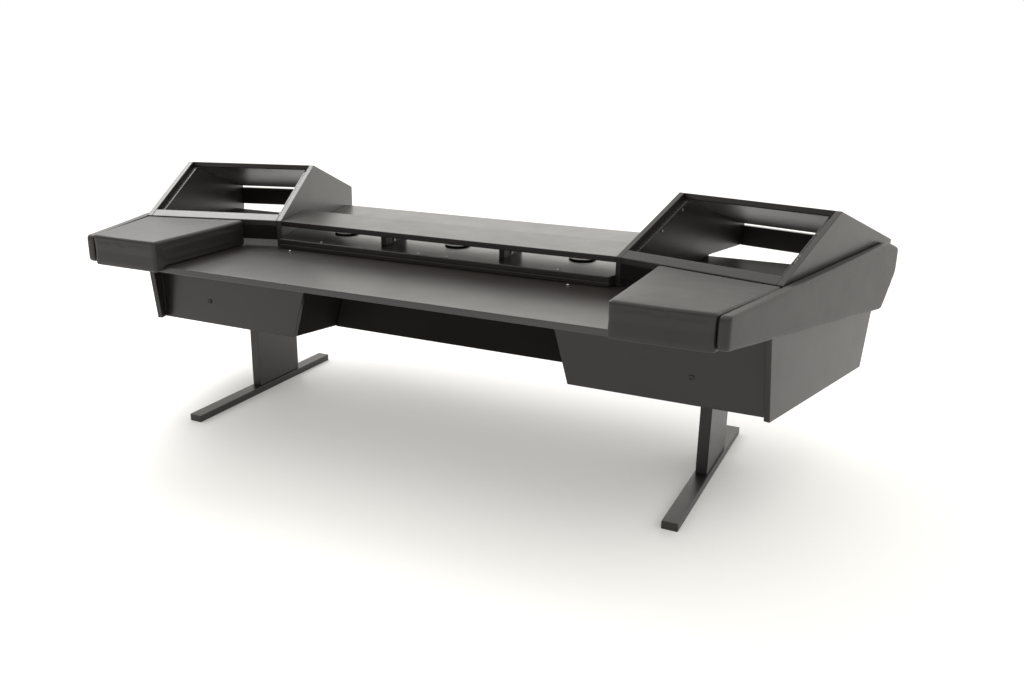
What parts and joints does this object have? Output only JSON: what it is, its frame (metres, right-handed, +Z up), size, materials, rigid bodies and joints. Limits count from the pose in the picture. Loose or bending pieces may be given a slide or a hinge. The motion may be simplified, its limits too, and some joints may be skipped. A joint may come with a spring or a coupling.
{
  "type": "studio desk",
  "caption": "Wide desk with a low keyboard-level worktop, raised rear deck and monitor shelf, padded front corners and toed-in sloping equipment bays, on flat-column legs.",
  "frame": {"origin": "on the floor under the middle of the desk's box", "axes": "+X to the seated user's right, +Y away from the user, +Z up"},
  "size_m": [2.7082, 1.2388, 0.891],
  "materials": {
    "laminate": "satin charcoal laminate on board",
    "vinyl": "matte charcoal upholstery vinyl over foam",
    "leg_steel": "fine powder coat",
    "rail_steel": "black powder coat",
    "bright_steel": "plated fasteners",
    "plastic": "black moulded plastic"
  },
  "bodies": {
    "desk": {"worktop": "laminate", "deck_riser": "laminate", "raised_deck": "laminate", "monitor_shelf": "laminate", "modesty_panel": "laminate", "shelf_plate_right": "laminate", "shelf_plate_left": "laminate", "turret_inner_panel_right": "laminate", "turret_inner_panel_left": "laminate", "end_panel_right": "laminate", "end_panel_left": "laminate", "turret_strip_right": "laminate", "turret_strip_left": "laminate", "turret_front_board_right": "laminate", "turret_front_board_left": "laminate", "turret_rear_board_right": "laminate", "turret_rear_board_left": "laminate", "turret_top_right": "laminate", "turret_top_left": "laminate", "apron_right": "laminate", "apron_left": "laminate", "kneehole_side_right": "laminate", "kneehole_side_left": "laminate", "armrest_pad_right": "vinyl", "armrest_pad_left": "vinyl", "side_wing_right": "vinyl", "side_wing_left": "vinyl", "leg_foot_right": "leg_steel", "leg_foot_left": "leg_steel", "leg_column_right": "leg_steel", "leg_column_left": "leg_steel", "rack_rail_inner_right": "rail_steel", "rack_rail_inner_left": "rail_steel", "rack_rail_outer_right": "rail_steel", "rack_rail_outer_left": "rail_steel", "deck_screw_left_outer": "bright_steel", "deck_screw_left_inner": "bright_steel", "deck_screw_right_inner": "bright_steel", "deck_screw_right_outer": "bright_steel", "worktop_screw_far_left": "bright_steel", "worktop_screw_left": "bright_steel", "worktop_screw_right": "bright_steel", "shelf_bolt_right": "bright_steel", "shelf_bolt_left": "bright_steel", "rail_screw_lower_right": "bright_steel", "rail_screw_lower_left": "bright_steel", "rail_screw_upper_right": "bright_steel", "rail_screw_upper_left": "bright_steel", "grommet_ring_left": "plastic", "grommet_ring_centre": "plastic", "grommet_ring_right": "plastic", "apron_cap_right": "plastic", "apron_cap_left": "plastic"},
    "cap_left": {"grommet_cap_left": "plastic"},
    "cap_centre": {"grommet_cap_centre": "plastic"},
    "cap_right": {"grommet_cap_right": "plastic"}
  },
  "joints": [
    {"name": "grommet_cap_left_turn", "type": "hinge", "parent": "desk", "child": "cap_left", "pos_m": [-0.453, 0.02814, 0.68], "axis": [0, 0, 1], "continuous": true},
    {"name": "grommet_cap_centre_turn", "type": "hinge", "parent": "desk", "child": "cap_centre", "pos_m": [0, 0.02814, 0.68], "axis": [0, 0, 1], "continuous": true},
    {"name": "grommet_cap_right_turn", "type": "hinge", "parent": "desk", "child": "cap_right", "pos_m": [0.453, 0.02814, 0.68], "axis": [0, 0, 1], "continuous": true}
  ]
}
